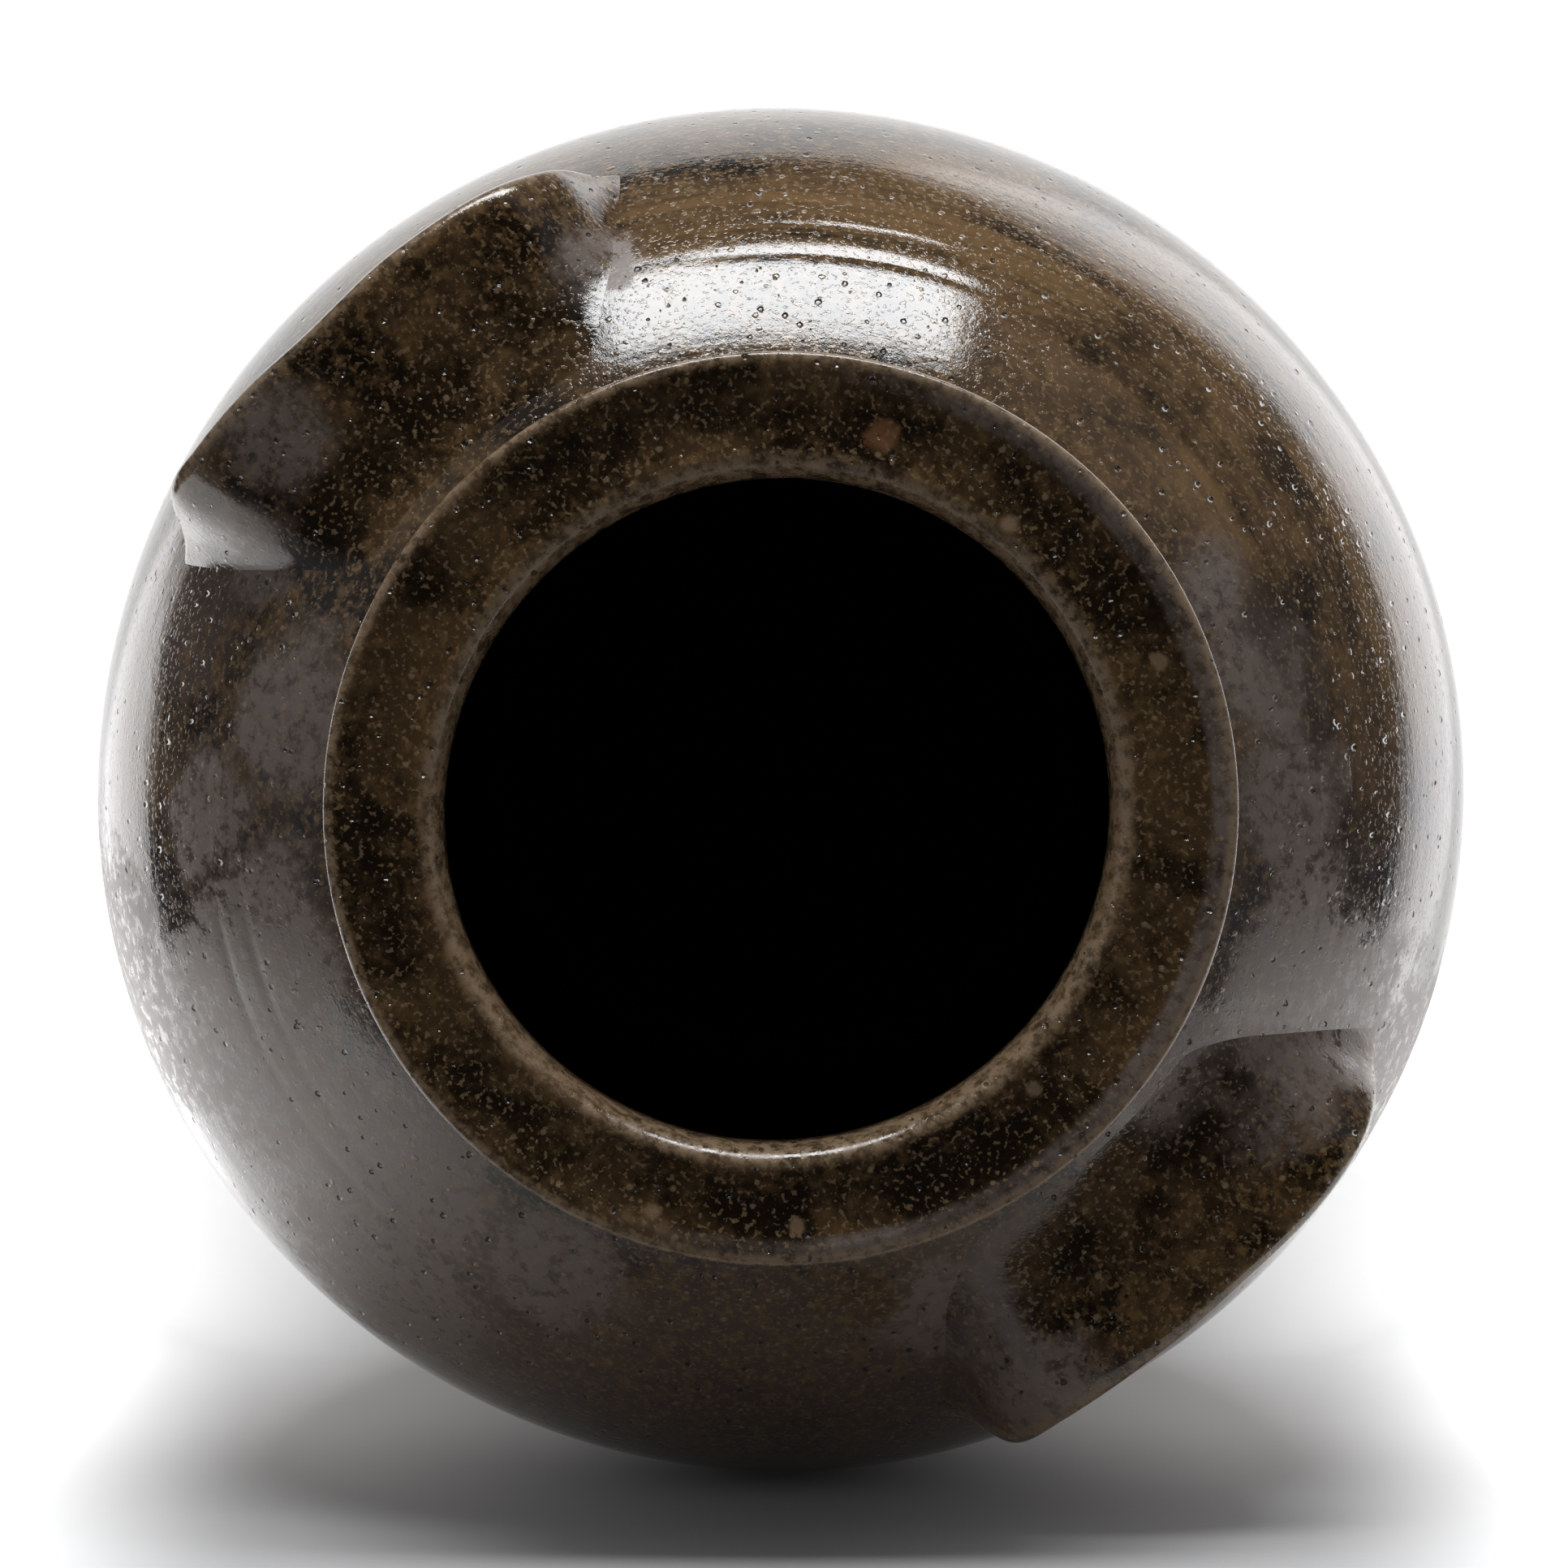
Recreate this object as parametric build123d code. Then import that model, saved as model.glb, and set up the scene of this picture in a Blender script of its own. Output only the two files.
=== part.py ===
from build123d import *
import os
from math import asin, atan2, cos, degrees, radians, sin

# Body, in millimetres. The foot's centre is the origin and the jar's axis is Z.
foot_radius = 108.0
foot_bevel = 3.0
belly_radius = 168.5
belly_height = 260.0
shoulder_height = 120.0

# Clay thicknesses
base_thickness = 13.0
foot_wall = 12.5
belly_wall_thickness = 10.0
neck_clay = 7.0
neck_wall = 13.5

# Throat and inner lip of the rim
throat_radius = 74.5
throat_depth = 11.0
throat_flare = 3.5
lip_width = 5.5
lip_crest_drop = 0.3

# Everted rim with a dished ledge, a narrow flat land and an undercut band
neck_rise = 5.5
rim_overhang = 14.0
rim_land = 2.0
rim_rounding = 2.0
rim_dish = 1.5
rim_band = 11.0
rim_taper = 1.5
rim_heel = 3.5
rim_cove = 3.5
rim_cove_width = 1.5

# Scored and keyed joints between the courses
lower_seam_height = 140.0
belly_seam_rise = 4.0
rim_seat_drop = 3.0
key_depth = 3.0
key_width = 5.0

# Coils that seal the joints on the inside
base_coil_leg = 15.0
base_coil_sag = 2.0
seam_coil_width = 26.0
seam_coil_height = 3.6
seam_coil_clearance = 0.15

# Ring lines incised round the shoulder, down from the neck
ring_line_drop = 27.0
ring_line_spacing = 7.0
ring_line_depth = 0.8
ring_line_count = 2

# Slab lug handles: how far their middle lies under the neck, and their ends lower still
lug_drop = 22.5
lug_sag = 35.5
lug_length = 130.0
lug_projection = 31.5
lug_thickness = 14.0
lug_root = 28.0
lug_rise = 8.0
lug_top_bury = 2.0
lug_dish = 2.5
lug_hollow = 2.5
lug_bury = 5.0
lug_luting_leg = 7.0
lug_luting_overlap = 1.0

overrun = 5.0

# Places that follow from the sizes
neck_radius = throat_radius + neck_wall
rim_radius = neck_radius + rim_overhang
neck_height = belly_height + shoulder_height
cove_height = neck_height + neck_rise
jar_height = cove_height + rim_cove + rim_band
throat_height = jar_height - throat_depth
throat_foot_height = neck_height - neck_clay
belly_seam_height = belly_height + belly_seam_rise
rim_seat_height = neck_height - rim_seat_drop
ring_line_height = neck_height - ring_line_drop
lug_height = neck_height - lug_drop

# Control points of the outer and inner wall curves, as shares of each curve's run and rise
lower_curve_shares = ((0.42, 0.32), (1.0, 0.55))
upper_curve_shares = ((0.0, 0.41), (0.38, 0.79))
throat_knee_share = 0.81

# Levels of the points down a seam coil's back, as shares of half its width
seam_coil_shares = (-1.0, -0.75, -0.5, -0.25, 0.0, 0.25, 0.5, 0.75, 1.0)

# Lug sections from one end to the other, each a place along the lug, its sag, how deep its
# root is buried, its reach out from there, its size and its tilt towards the wall's normal
lug_section_shares = (
    (-1.08, 1.12, 1.00, 0.10, 0.40, 1.00),
    (-0.99, 0.92, 0.00, 0.12, 0.70, 0.60),
    (-0.84, 0.58, 0.00, 0.45, 0.95, 0.30),
    (-0.64, 0.28, 0.00, 0.74, 1.00, 0.15),
    (-0.36, 0.08, 0.00, 0.925, 1.00, 0.00),
    (0.00, 0.00, 0.00, 1.00, 1.00, 0.00),
    (0.36, 0.08, 0.00, 0.94, 1.00, 0.00),
    (0.66, 0.28, 0.00, 0.80, 1.00, 0.15),
    (0.85, 0.56, 0.00, 0.60, 1.00, 0.30),
    (0.98, 0.92, 0.00, 0.14, 0.75, 0.60),
    (1.07, 1.12, 1.00, 0.10, 0.40, 1.00),
)
# Control points of a section's lower and upper side as shares of its reach and of its fall
# from the shoulder, with the dip there as a share of the dish, and how far the waist draws
# in and the crest swells, as shares of the hollow and of half the thickness
lug_under_shares = (0.20, 0.62)
lug_top_shares = ((0.38, 1.75), (0.66, 0.90))
lug_waist_share = 2.6
lug_crest_share = 2.3
# Where the luting meets the lug's underside, and how closely it fills the corner
lug_luting_share = 0.42
lug_luting_hug_share = 0.45


def wall_curve(start, end, shares):
    """A wall line in radius and height, from its start to its end."""
    run = end[0] - start[0]
    rise = end[1] - start[1]
    first, second = [(start[0] + x * run, start[1] + y * rise) for x, y in shares]
    return Bezier(start, first, second, end)


def outer_curves():
    lower = wall_curve(
        (foot_radius, foot_bevel), (belly_radius, belly_height), lower_curve_shares
    )
    upper = wall_curve(
        (belly_radius, belly_height), (neck_radius, neck_height), upper_curve_shares
    )
    return lower, upper


def inner_curves():
    inner_belly = (belly_radius - belly_wall_thickness, belly_height)
    lower = wall_curve(
        (foot_radius - foot_wall, base_thickness), inner_belly, lower_curve_shares
    )
    upper = wall_curve(
        inner_belly,
        (throat_radius + throat_flare, throat_foot_height),
        upper_curve_shares,
    )
    return lower, upper


def rim_line():
    """The rim from the neck outwards, over its ledge and lip, and down the throat."""
    heel = (rim_radius - rim_taper, jar_height - rim_band)
    cove = (heel[0] - rim_heel, cove_height)
    cove_corner = (neck_radius - rim_cove_width, cove_height)
    edge_low = (rim_radius, jar_height - rim_rounding)
    edge_top = (rim_radius - rim_rounding, jar_height)
    land = (edge_top[0] - rim_land, jar_height)
    crest = (throat_radius + lip_width, jar_height - lip_crest_drop)
    dish = ((land[0] + crest[0]) / 2, jar_height - rim_dish)
    throat = (throat_radius, throat_height)
    throat_foot = (throat_radius + throat_flare, throat_foot_height)
    knee_drop = throat_knee_share * (throat_height - throat_foot_height)
    knee = (throat_radius, throat_height - knee_drop)
    return [
        Bezier((neck_radius, neck_height), cove_corner, cove),
        Bezier(cove, (heel[0], cove_height), heel),
        Line(heel, edge_low),
        TangentArc(edge_low, edge_top, tangent=(0, 1)),
        Line(edge_top, land),
        ThreePointArc(land, dish, crest),
        Bezier(crest, (throat_radius, crest[1]), throat),
        Bezier(throat, knee, throat_foot),
    ]


def turned(*edges):
    """The solid that a closed outline in radius and height makes when it is turned."""
    return revolve(Plane.XZ * make_face(list(edges)), axis=Axis.Z)


def body():
    """The whole jar without lugs, to be parted at its joints."""
    outer_lower, outer_upper = outer_curves()
    inner_lower, inner_upper = inner_curves()
    foot = Polyline(
        (0, base_thickness),
        (0, 0),
        (foot_radius - foot_bevel, 0),
        (foot_radius, foot_bevel),
    )
    floor = Line((foot_radius - foot_wall, base_thickness), (0, base_thickness))
    jar = turned(
        foot, outer_lower, outer_upper, *rim_line(), inner_upper, inner_lower, floor
    )
    return jar - ring_lines()


def core():
    """Everything inside the jar's outer surface up to the neck, without the ring lines."""
    outer_lower, outer_upper = outer_curves()
    foot = Polyline(
        (0, neck_height),
        (0, 0),
        (foot_radius - foot_bevel, 0),
        (foot_radius, foot_bevel),
    )
    top = Line((neck_radius, neck_height), (0, neck_height))
    return turned(foot, outer_lower, outer_upper, top)


def parameter_at_height(curve, height):
    low, high = 0.0, 1.0
    for _ in range(40):
        middle = (low + high) / 2
        if (curve @ middle).Y < height:
            low = middle
        else:
            high = middle
    return (low + high) / 2


def radius_at_height(curves, height):
    """The wall's radius where one of two curves, lower and upper, has this height."""
    curve = curves[0] if height < belly_height else curves[1]
    return (curve @ parameter_at_height(curve, height)).X


def ring_lines():
    shoulder = outer_curves()[1]
    lines = []
    for index in range(ring_line_count):
        height = ring_line_height - index * ring_line_spacing
        radius = (shoulder @ parameter_at_height(shoulder, height)).X
        lines.append(Pos(0, 0, height) * Torus(radius, ring_line_depth))
    return lines


def below_seat(height):
    """All that lies below a joint, with the keyway of the joint cut in its top."""
    outside = radius_at_height(outer_curves(), height)
    inside = radius_at_height(inner_curves(), height)
    middle = (outside + inside) / 2
    reach = belly_radius + rim_radius
    outline = Polyline(
        (0, -overrun),
        (reach, -overrun),
        (reach, height),
        (middle + key_width / 2, height),
        (middle, height - key_depth),
        (middle - key_width / 2, height),
        (0, height),
        close=True,
    )
    return turned(outline)


def courses():
    """The clay pieces of the body, from the base slab up to the rim."""
    names = ["base_slab", "lower_wall", "belly_wall", "shoulder_wall"]
    heights = [base_thickness, lower_seam_height, belly_seam_height, rim_seat_height]
    rest = body()
    pieces = {}
    for name, height in zip(names, heights):
        seat = below_seat(height)
        pieces[name] = rest & seat
        rest = rest - seat
    pieces["rim_collar"] = rest
    return pieces


def base_luting_coil(jar):
    """A coil pressed into the corner of base and wall, hollowed with a thumb."""
    wall = inner_curves()
    top = base_thickness + base_coil_leg
    corner = foot_radius - foot_wall
    toe = (corner - base_coil_leg, base_thickness)
    head = (radius_at_height(wall, top), top)
    hollow = (
        (toe[0] + head[0]) / 2 + base_coil_sag,
        (toe[1] + head[1]) / 2 - base_coil_sag,
    )
    outside = (head[0] + overrun, top)
    below = (toe[0], base_thickness - overrun)
    ring = turned(
        ThreePointArc(toe, hollow, head),
        Polyline(head, outside, (outside[0], below[1]), below, toe),
    )
    return ring - jar


def seam_coil(height):
    """A coil smeared flat over the inside of a seam, just clear of the wall behind it."""
    wall = inner_curves()
    back = []
    for share in seam_coil_shares:
        level = height + share * seam_coil_width / 2
        back.append((radius_at_height(wall, level) - seam_coil_clearance, level))
    proud = (radius_at_height(wall, height) - seam_coil_height, height)
    return turned(ThreePointArc(back[0], proud, back[-1]), Spline(*back))


def lug_frames():
    """Root, directions and sizes of each section of a lug, from end to end."""
    shoulder = outer_curves()[1]
    end_radius = (shoulder @ parameter_at_height(shoulder, lug_height - lug_sag)).X
    half_angle = degrees(asin(lug_length / 2 / end_radius))
    frames = []
    for along, sag, sink, reach, size, tilt in lug_section_shares:
        place = parameter_at_height(shoulder, lug_height - sag * lug_sag)
        up = shoulder % place
        normal = Vector(up.Y, -up.X)
        root = shoulder @ place - normal * (sink * lug_bury)
        lean = tilt * atan2(normal.Y, normal.X)
        out = Vector(cos(lean), sin(lean))
        over = Vector(-sin(lean), cos(lean))
        length = reach * lug_projection
        frames.append((along * half_angle, root, up, normal, out, over, length, size))
    return frames


def meridian(angle):
    """The plane through the jar's axis at an angle, with radius and height as its axes."""
    return Plane(
        origin=(0, 0, 0),
        x_dir=(cos(radians(angle)), sin(radians(angle)), 0),
        z_dir=(sin(radians(angle)), -cos(radians(angle)), 0),
    )


def lug_sides(root, up, normal, out, over, length, size):
    """The upper and the lower side of a lug's section, from the shoulder to the tip."""
    half = lug_thickness / 2
    swell = lug_crest_share * half * size
    waist = (half - lug_waist_share * lug_hollow) * size
    tip = root + out * length
    shoulder = outer_curves()[1]
    place = parameter_at_height(shoulder, lug_height + lug_rise)
    rise = shoulder % place
    top = shoulder @ place
    fall = tip - top
    lift = Vector(-fall.Y, fall.X).normalized()
    dish = lug_dish * length / lug_projection
    upper = Bezier(
        top - Vector(rise.Y, -rise.X) * lug_top_bury,
        *[top + fall * share - lift * (dip * dish) for share, dip in lug_top_shares],
        tip + lift * swell,
        tip,
    )
    lower = Bezier(
        root - up * (lug_root / 2 * size) - normal * (lug_bury * size),
        *[root + out * (share * length) - over * waist for share in lug_under_shares],
        tip - over * swell,
        tip,
    )
    return upper, lower


def lug(shoulder_core):
    """A slab of clay bent to an arch, dished above and hollowed for the fingers below."""
    sections = []
    for angle, *frame in lug_frames():
        upper, lower = lug_sides(*frame)
        outline = make_face([upper, lower, Line(lower @ 0, upper @ 0)])
        sections.append(meridian(angle) * outline)
    return loft(sections) - shoulder_core


def lug_luting(shoulder_core, handle):
    """The clay pressed into the corner under a lug, short of the lug's ends."""
    sections = []
    for angle, root, up, normal, out, over, length, size in lug_frames()[3:-3]:
        upper, lower = lug_sides(root, up, normal, out, over, length, size)
        spread = lug_root / 2 * size
        corner = root - up * spread
        under = lower @ lug_luting_share + over * lug_luting_overlap
        toe = corner - up * (lug_luting_leg * size) - normal * lug_luting_overlap
        inside = root - up * (spread / 2) - normal * lug_bury
        chord = (under + toe) / 2
        hug = chord + (corner - chord) * lug_luting_hug_share
        outline = make_face(
            [ThreePointArc(under, hug, toe), Line(toe, inside), Line(inside, under)]
        )
        sections.append(meridian(angle) * outline)
    return loft(sections) - shoulder_core - handle


def jar_pieces():
    jar = body()
    shoulder_core = core()
    pieces = courses()
    pieces["base_luting_coil"] = base_luting_coil(jar)
    pieces["lower_seam_coil"] = seam_coil(lower_seam_height)
    pieces["upper_seam_coil"] = seam_coil(belly_seam_height)
    right_lug = lug(shoulder_core)
    right_luting = lug_luting(shoulder_core, right_lug)
    pieces["lug_handle_right"] = right_lug
    pieces["right_lug_luting"] = right_luting
    pieces["lug_handle_left"] = mirror(right_lug, about=Plane.YZ)
    pieces["left_lug_luting"] = mirror(right_luting, about=Plane.YZ)
    return pieces


os.makedirs("parts", exist_ok=True)
for name, piece in jar_pieces().items():
    export_step(piece, f"parts/{name}.step")
    print(name, len(piece.solids()), round(piece.volume), piece.is_valid)
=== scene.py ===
# %% [markdown]
# # A brown-glazed storage jar
#
# The real jar is stoneware: a base slab, thrown wall courses, a broad rim and two slab lugs,
# all fired into one piece under a dark glaze. The frame that is loaded here already holds
# each clay piece at its real size. This lesson dresses them: every piece is turned or bent
# again with bmesh operators, with the small unevenness of hand work, and gets a glaze built
# from shader nodes. All lengths are in metres and the jar's axis is Z.

# %% Load the frame
from math import asin, atan2, cos, exp, pi, radians, sin, sqrt

import bmesh
import bpy
from mathutils import Matrix, Vector, noise


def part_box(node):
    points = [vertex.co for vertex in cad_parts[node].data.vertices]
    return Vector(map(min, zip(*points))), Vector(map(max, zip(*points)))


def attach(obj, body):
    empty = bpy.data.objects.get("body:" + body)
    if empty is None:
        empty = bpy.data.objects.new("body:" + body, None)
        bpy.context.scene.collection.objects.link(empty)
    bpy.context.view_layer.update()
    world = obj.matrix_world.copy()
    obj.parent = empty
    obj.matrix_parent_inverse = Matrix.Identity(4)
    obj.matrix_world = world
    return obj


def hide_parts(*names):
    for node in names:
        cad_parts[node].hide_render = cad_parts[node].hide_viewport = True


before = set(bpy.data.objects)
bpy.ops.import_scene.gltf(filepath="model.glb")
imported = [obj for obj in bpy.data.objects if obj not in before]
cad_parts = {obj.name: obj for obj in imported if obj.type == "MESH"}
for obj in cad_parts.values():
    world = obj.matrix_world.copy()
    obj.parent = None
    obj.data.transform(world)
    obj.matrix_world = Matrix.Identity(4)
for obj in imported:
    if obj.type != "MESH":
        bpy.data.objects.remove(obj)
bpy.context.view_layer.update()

print("pieces in the frame:", len(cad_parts))

# %% [markdown]
# ## The jar's line
#
# A thrown pot is one line turned round an axis. The outside and the inside of the wall are
# Bezier curves between a few measured points, so the numbers a potter would note, foot,
# belly, neck and height, give the whole shape. Two control points per curve are kept as
# shares of its run and rise.

# %% Driving sizes
foot_radius = 0.108
foot_bevel = 0.003
belly_radius = 0.1685
belly_height = 0.260
neck_radius = 0.088
neck_height = 0.380
jar_height = 0.400
base_thickness = 0.013
foot_wall = 0.0125
belly_wall_thickness = 0.010
throat_radius = 0.0745
throat_height = 0.389
throat_foot = (0.078, 0.373)
throat_knee = (0.0745, 0.376)
lip_width = 0.0055
lip_crest_drop = 0.0003
rim_radius = 0.102
rim_land = 0.002
rim_rounding = 0.002
rim_dish = 0.0015
rim_band = 0.011
rim_taper = 0.0015
rim_heel = 0.0035
cove_height = 0.3855
cove_width = 0.0015
key_depth = 0.003
key_width = 0.005
lower_curve_shares = ((0.42, 0.32), (1.0, 0.55))
upper_curve_shares = ((0.0, 0.41), (0.38, 0.79))

courses = ("base_slab", "lower_wall", "belly_wall", "shoulder_wall")
base_seam, lower_seam, belly_seam, rim_seam = [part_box(name)[1].z for name in courses]
print("seams at", [round(height, 4) for height in (base_seam, lower_seam, belly_seam, rim_seam)])


# %% Curves in radius and height
def bezier_point(points, share):
    row = [Vector(point) for point in points]
    while len(row) > 1:
        row = [a.lerp(b, share) for a, b in zip(row, row[1:])]
    return row[0]


def bezier(points, count):
    """Points along a Bezier curve of any order, both ends included."""
    return [bezier_point(points, step / count) for step in range(count + 1)]


def wall_curve(start, end, shares):
    run = end[0] - start[0]
    rise = end[1] - start[1]
    return [start, *[(start[0] + x * run, start[1] + y * rise) for x, y in shares], end]


belly = (belly_radius, belly_height)
inner_belly = (belly_radius - belly_wall_thickness, belly_height)
outer = (
    wall_curve((foot_radius, foot_bevel), belly, lower_curve_shares),
    wall_curve(belly, (neck_radius, neck_height), upper_curve_shares),
)
inner = (
    wall_curve((foot_radius - foot_wall, base_thickness), inner_belly, lower_curve_shares),
    wall_curve(inner_belly, throat_foot, upper_curve_shares),
)


def wall_point(curves, height):
    """The point of the wall's line at one height, found by halving."""
    points = curves[0] if height < belly_height else curves[1]
    low, high = 0.0, 1.0
    for _ in range(24):
        share = (low + high) / 2
        if bezier_point(points, share).y < height:
            low = share
        else:
            high = share
    return bezier_point(points, share)


def wall_line(curves, low, high, spacing):
    """Points up the wall between two heights, about one spacing apart."""
    count = max(2, round((high - low) / spacing))
    return [wall_point(curves, low + (high - low) * step / count) for step in range(count + 1)]


def wall_frame(height):
    """The outer wall's point at one height, with its upward tangent and outward normal."""
    reach = 0.0005
    above, below = wall_point(outer, height + reach), wall_point(outer, height - reach)
    up = (above - below).normalized()
    return wall_point(outer, height), up, Vector((up.y, -up.x))


def seat_line(height):
    """The joint between two courses, from the outside in, with its key."""
    middle = (wall_point(outer, height).x + wall_point(inner, height).x) / 2
    return [
        Vector((middle + key_width / 2, height)),
        Vector((middle, height - key_depth)),
        Vector((middle - key_width / 2, height)),
    ]


print("shoulder radius at the upper ring line:", round(wall_point(outer, 0.353).x, 4))

# %% [markdown]
# ## The marks of the wheel and the hand
#
# A thrown wall is never a perfect surface of revolution. Fingers leave shallow rings that
# climb the wall, the mouth goes slightly oval when the lugs are pressed on, and a pointed
# stick has cut two ring lines round the shoulder. All of this moves vertices by a function of
# place, so that neighbouring courses still meet along their seams.

# %% Hand work as a function of place
ring_line_heights = (0.353, 0.346)
ring_line_half_width = 0.0011
ring_line_depth = 0.00035
ring_line_wander = 0.0007
ring_line_zone = (0.338, 0.361)
ring_line_ends = (0.50, 0.60)
throwing_ring_pitch = 0.0075
throwing_ring_height = 0.00004
wall_unevenness = 0.0007
mouth_oval_share = 0.008
mouth_offset = Vector((0.0002, 0.0010, 0))
mouth_heights = (0.33, 0.39)
mouth_radii = (0.075, 0.100)
calm_neck = (0.368, 0.382)


def soft_step(value, low, high):
    share = min(1.0, max(0.0, (value - low) / (high - low)))
    return share * share * (3 - 2 * share)


def around(angle):
    return Vector((cos(angle), sin(angle), 0))


def ring_cut(angle, height):
    """How deep the two ring lines cut at a place on the outer wall; they stop short of the lugs."""
    wander = ring_line_wander * noise.noise(around(angle) * 2 + Vector((0, 0, 7)))
    press = 0.6 + 0.9 * noise.noise(around(angle) * 3 + Vector((0, 0, 3)))
    press *= soft_step(abs(sin(angle)), *ring_line_ends)
    cut = 0.0
    for line_height in ring_line_heights:
        away = (height - line_height - wander) / ring_line_half_width
        cut += press * exp(-away * away)
    return ring_line_depth * cut


def thrown(point, outside=False):
    """Where a perfectly turned point ends up on the hand-made jar."""
    radius = sqrt(point.x ** 2 + point.y ** 2)
    if radius < 0.002:
        return point
    angle = atan2(point.y, point.x)
    slow = noise.noise(around(angle) * 1.3 + Vector((0, 0, point.z * 14)))
    band = noise.noise(around(angle) * 0.6 + Vector((9, 0, point.z / throwing_ring_pitch)))
    fade = 1 - soft_step(point.z, *calm_neck)
    move = fade * (wall_unevenness * slow + throwing_ring_height * band)
    if outside and ring_line_zone[0] < point.z < ring_line_zone[1]:
        move -= ring_cut(angle, point.z)
    mouth = soft_step(point.z, *mouth_heights) * (1 - soft_step(radius, *mouth_radii))
    move -= mouth_oval_share * mouth * radius * cos(2 * angle)
    return point + around(angle) * move + mouth_offset * mouth


print("ring lines at heights", ring_line_heights, "cut", ring_line_depth, "deep")

# %% [markdown]
# ## Turning and finishing
#
# One function turns every closed outline. The glaze runs thin over edges and gathers in
# hollows, so each vertex also keeps three numbers for the shader: how thin the glaze lies
# there, how deep it pools and how much of the lining covers it. The lining is painted
# near-black, a painted shade for the jar's dark inside.

# %% Turning a closed outline
sharp_corner = radians(38)


def as_object(name, bm):
    mesh = bpy.data.meshes.new(name)
    bm.to_mesh(mesh)
    bm.free()
    piece = bpy.data.objects.new(name, mesh)
    bpy.context.scene.collection.objects.link(piece)
    print(name, len(mesh.vertices), "vertices", len(mesh.polygons), "faces")
    return piece


def smooth(bm, corner=sharp_corner):
    """Smooth shading whose real corners stay sharp."""
    for face in bm.faces:
        face.smooth = True
    for edge in bm.edges:
        edge.smooth = edge.calc_face_angle(0) < corner


def glaze_layers(bm):
    return [bm.verts.layers.float.new(name) for name in ("thin", "pool", "lining")]


def turned(name, outline, steps, outside_count=0, marks=None, closed=True):
    """Spins an outline round the axis; its first points are the wall's outer skin."""
    bm = bmesh.new()
    thin, pool, lining = glaze_layers(bm)
    ring = [bm.verts.new((point.x, 0, point.y)) for point in outline]
    for vertex in ring[outside_count:]:
        vertex[lining] = 1
    ends = zip(ring, ring[1:] + ring[:1]) if closed else zip(ring, ring[1:])
    edges = [bm.edges.new(pair) for pair in ends]
    bmesh.ops.spin(bm, geom=ring + edges, axis=(0, 0, 1), cent=(0, 0, 0),
                   angle=2 * pi, steps=steps, use_merge=True)
    bmesh.ops.remove_doubles(bm, verts=bm.verts, dist=1e-6)
    bmesh.ops.recalc_face_normals(bm, faces=bm.faces)
    for vertex in bm.verts:
        outside = vertex[lining] == 0
        if marks:
            vertex[thin], vertex[pool], vertex[lining] = marks(vertex.co)
        vertex.co = thrown(vertex.co, outside)
    smooth(bm)
    return as_object(name, bm)


# %% [markdown]
# ## The wall courses
#
# Each course is one ring of the wall. Its outline runs up the outside, over the keyed seat
# that carries the next course, down the inside and back over its own seat. The shoulder
# carries the ring lines, so its rows lie closer together there.

# %% The base slab and the three courses
wall_row = 0.0012
shoulder_row = 0.0007
inside_row = 0.006
turns = 360


def course(name, low, high, row):
    outside = wall_line(outer, low, high, row)
    inside = wall_line(inner, low, high, inside_row)
    outline = outside + seat_line(high) + inside[::-1] + seat_line(low)[::-1]
    return turned(name, outline, turns, len(outside))


lower_course = course("glazed_lower_wall", base_seam, lower_seam, wall_row)
belly_course = course("glazed_belly_wall", lower_seam, belly_seam, wall_row)
shoulder_course = course("glazed_shoulder_wall", belly_seam, rim_seam, shoulder_row)


def slab_marks(place):
    """Only the slab's upper face, inside the wall, carries the lining glaze."""
    radius = sqrt(place.x ** 2 + place.y ** 2)
    upper = soft_step(place.z, base_thickness - key_depth - 0.001, base_thickness - key_depth)
    return 0, 0, upper * (1 - soft_step(radius, foot_radius - 0.004, foot_radius - 0.001))


slab_outline = [
    Vector((0, 0)),
    Vector((foot_radius * 0.5, 0)),
    Vector((foot_radius - foot_bevel, 0)),
    *wall_line(outer, foot_bevel, base_thickness, 0.001),
    *seat_line(base_thickness),
    Vector((foot_radius * 0.5, base_thickness)),
    Vector((0, base_thickness)),
]
base_disc = turned("foot_disc", slab_outline, turns, closed=False, marks=slab_marks)

# %% [markdown]
# ## The coils inside
#
# Before the next course was set on, the potter pressed a soft coil into each joint from the
# inside and smeared it flat with a thumb. They show only to someone who looks into the jar.

# %% Coils pressed into the joints
coil_row = 0.002
seam_coil_height = 0.0036
base_coil_leg = 0.015
base_coil_sag = 0.002


def seam_coil(name, low, high):
    back = wall_line(inner, low, high, coil_row)
    middle = wall_point(inner, (low + high) / 2)
    proud = middle - Vector((seam_coil_height, 0))
    face = bezier([back[0], proud * 2 - (back[0] + back[-1]) / 2, back[-1]], 14)
    return turned(name, back + face[::-1][1:-1], turns // 2)


def corner_coil(name):
    toe = Vector((foot_radius - foot_wall - base_coil_leg, base_thickness))
    back = wall_line(inner, base_thickness, base_thickness + base_coil_leg, coil_row)
    sag = Vector((base_coil_sag, -base_coil_sag))
    face = bezier([back[-1], (toe + back[-1]) / 2 + sag * 2, toe], 14)
    return turned(name, back + face[1:], turns // 2)


base_coil = corner_coil("glazed_base_coil")
lower_coil = seam_coil("glazed_lower_seam_coil", *[corner.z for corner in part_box("lower_seam_coil")])
upper_coil = seam_coil("glazed_upper_seam_coil", *[corner.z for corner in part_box("upper_seam_coil")])


# %% [markdown]
# ## The rim
#
# The rim is the thickest clay of the jar: a rounded lip at the throat, a ledge that dishes
# slightly and holds a pool of glaze, and a crisp outer ridge where the glaze runs thin.

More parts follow.
